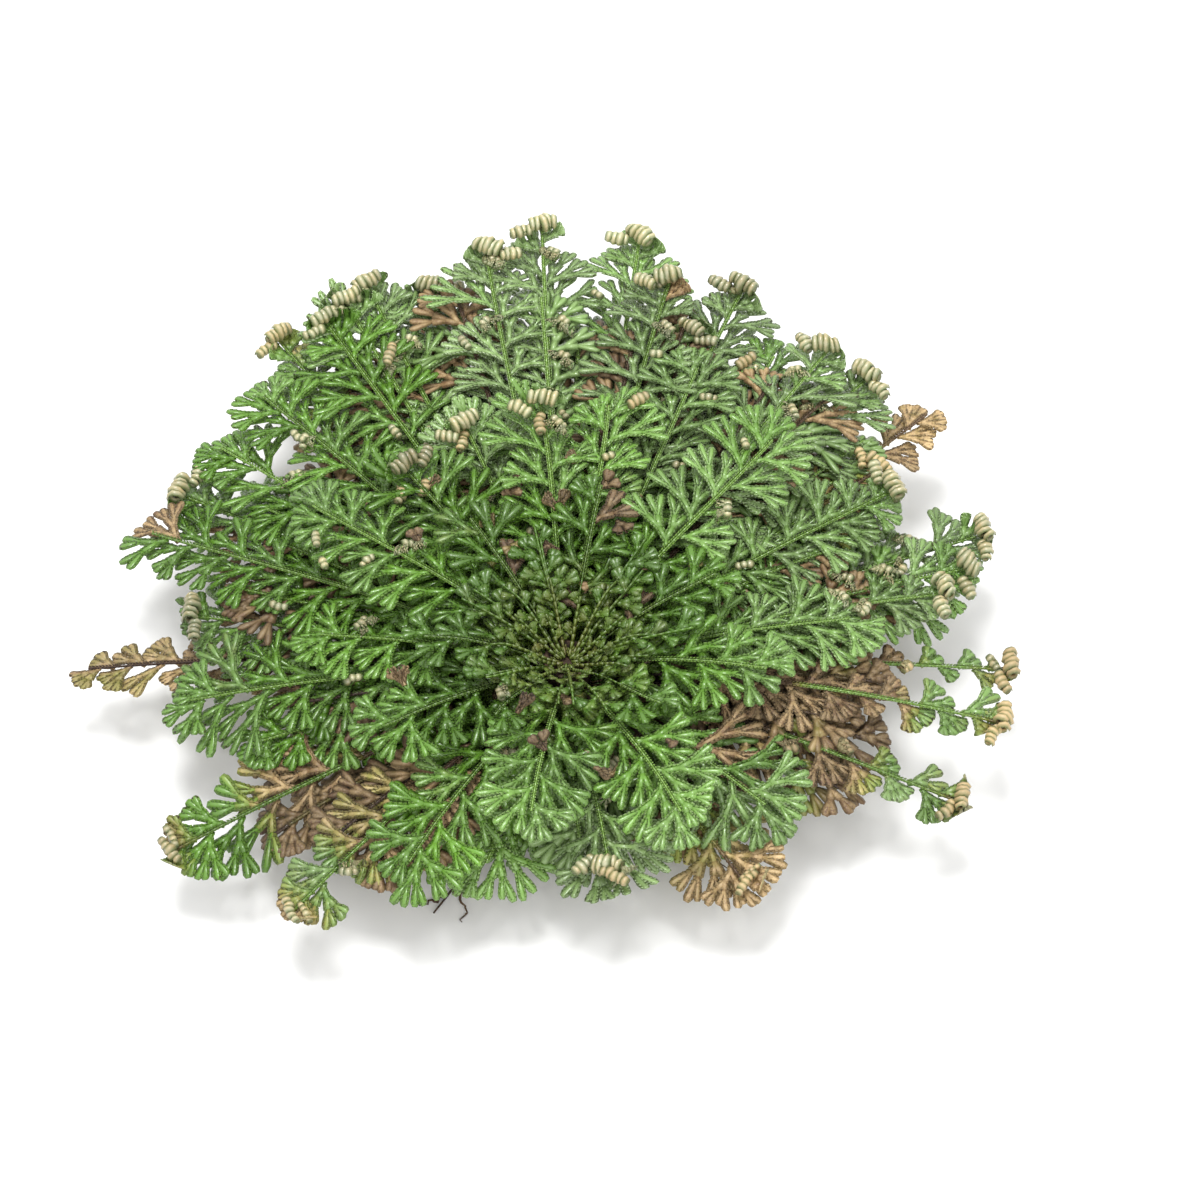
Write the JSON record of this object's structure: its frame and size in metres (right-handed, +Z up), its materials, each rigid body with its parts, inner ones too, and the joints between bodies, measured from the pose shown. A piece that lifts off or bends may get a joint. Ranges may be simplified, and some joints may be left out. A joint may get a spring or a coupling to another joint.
{
  "type": "rose of jericho",
  "caption": "Opened resurrection plant: a flat rosette of lobed, scaly fronds round a short crown, with some tips rolled or withered, resting on its cut rootstock and wiry roots.",
  "frame": {"origin": "centre of the flat spot under the rootstock, on the table", "axes": "+Z up along the crown, -Y towards the viewer of the picture, +X to the viewer's right"},
  "size_m": [0.199, 0.1803, 0.0393],
  "materials": {
    "fresh_frond": "satin",
    "grey_green_frond": "matt",
    "withered_frond": "matt",
    "dead_frond": "matt",
    "bark": "rough"
  },
  "bodies": {
    "root": {"rootstock": "bark", "crown": "bark", "heart_of_young_fronds": "fresh_frond", "outer_frond_01": "withered_frond", "outer_frond_02": "grey_green_frond", "outer_frond_03": "grey_green_frond", "outer_frond_04": "grey_green_frond", "outer_frond_05": "grey_green_frond", "outer_frond_06": "fresh_frond", "outer_frond_07": "grey_green_frond", "outer_frond_08": "grey_green_frond", "outer_frond_09": "fresh_frond", "outer_frond_10": "grey_green_frond", "outer_frond_11": "grey_green_frond", "outer_frond_12": "grey_green_frond", "outer_frond_13": "grey_green_frond", "outer_frond_14": "grey_green_frond", "outer_frond_15": "grey_green_frond", "outer_frond_16": "grey_green_frond", "outer_frond_17": "withered_frond", "outer_frond_18": "fresh_frond", "outer_frond_19": "fresh_frond", "outer_frond_20": "grey_green_frond", "outer_frond_21": "fresh_frond", "outer_frond_22": "grey_green_frond", "outer_frond_23": "dead_frond", "outer_frond_24": "fresh_frond", "outer_frond_25": "fresh_frond", "outer_frond_26": "withered_frond", "outer_frond_27": "withered_frond", "outer_frond_28": "fresh_frond", "outer_frond_29": "fresh_frond", "outer_frond_30": "grey_green_frond", "outer_frond_31": "withered_frond", "outer_frond_32": "fresh_frond", "outer_frond_33": "withered_frond", "outer_frond_34": "withered_frond", "middle_frond_01": "fresh_frond", "middle_frond_02": "fresh_frond", "middle_frond_03": "fresh_frond", "middle_frond_04": "fresh_frond", "middle_frond_05": "grey_green_frond", "middle_frond_06": "grey_green_frond", "middle_frond_07": "grey_green_frond", "middle_frond_08": "fresh_frond", "middle_frond_09": "fresh_frond", "middle_frond_10": "fresh_frond", "middle_frond_11": "fresh_frond", "middle_frond_12": "fresh_frond", "middle_frond_13": "fresh_frond", "inner_frond_01": "fresh_frond", "inner_frond_02": "fresh_frond", "inner_frond_03": "fresh_frond", "inner_frond_04": "fresh_frond", "inner_frond_05": "fresh_frond", "inner_frond_06": "fresh_frond", "root_1": "bark", "root_2": "bark", "root_3": "bark", "root_4": "bark"}
  },
  "joints": []
}
